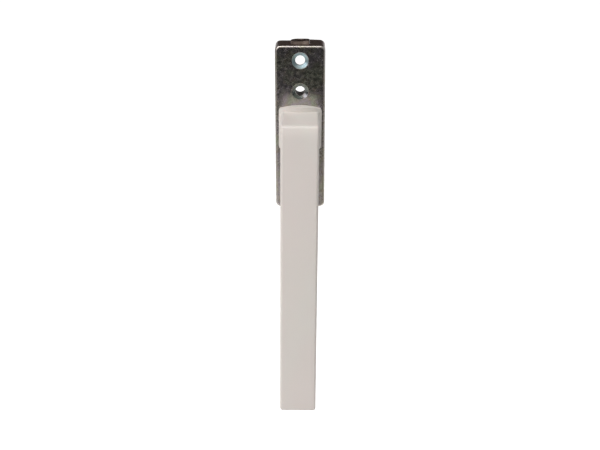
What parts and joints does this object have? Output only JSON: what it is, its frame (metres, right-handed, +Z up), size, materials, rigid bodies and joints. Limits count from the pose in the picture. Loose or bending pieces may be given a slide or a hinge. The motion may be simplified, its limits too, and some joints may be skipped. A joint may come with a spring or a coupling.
{
  "type": "window handle",
  "caption": "Window handle on a narrow pressed steel housing; its turn moves two drive bars apart through a pinion and racks.",
  "frame": {"origin": "on the handle's turning axis, at the back plane that lies on the window frame, midway between the screws", "axes": "+Z up along the housing, -Y out of the window frame towards the room, +X to the right seen from the room"},
  "size_m": [0.022, 0.0395, 0.1648],
  "materials": {
    "plated_steel": "zinc plated, faintly iridescent",
    "cast_zinc": "as cast",
    "bar_steel": "dark, oiled",
    "spring_steel": "blued",
    "black_steel": "black oxide",
    "bush_plastic": "natural acetal",
    "white_plastic": "satin white moulding"
  },
  "bodies": {
    "case": {"housing": "plated_steel", "gear_case": "cast_zinc", "back_plate": "plated_steel", "case_rivets": "plated_steel", "front_bush": "bush_plastic", "disc_spring": "spring_steel", "thrust_washer": "bush_plastic"},
    "handle": {"handle": "white_plastic", "grub_screw": "black_steel", "drive_pinion": "cast_zinc"},
    "upper_bar": {"upper_bar": "bar_steel"},
    "lower_bar": {"lower_bar": "bar_steel"}
  },
  "joints": [
    {"name": "handle_turn", "type": "hinge", "parent": "case", "child": "handle", "pos_m": [0, 0, 0], "axis": [0, -1, 0], "range_deg": [0, 90]},
    {"name": "upper_bar_slide", "type": "slide", "parent": "case", "child": "upper_bar", "axis": [0, 0, 1], "range_m": [0, 0.0085]},
    {"name": "lower_bar_slide", "type": "slide", "parent": "case", "child": "lower_bar", "axis": [0, 0, -1], "range_m": [0, 0.0085]}
  ],
  "couplings": [
    {"joint": "upper_bar_slide", "follows": "handle_turn", "m_per_rad": 0.0054},
    {"joint": "lower_bar_slide", "follows": "handle_turn", "m_per_rad": 0.0054}
  ]
}
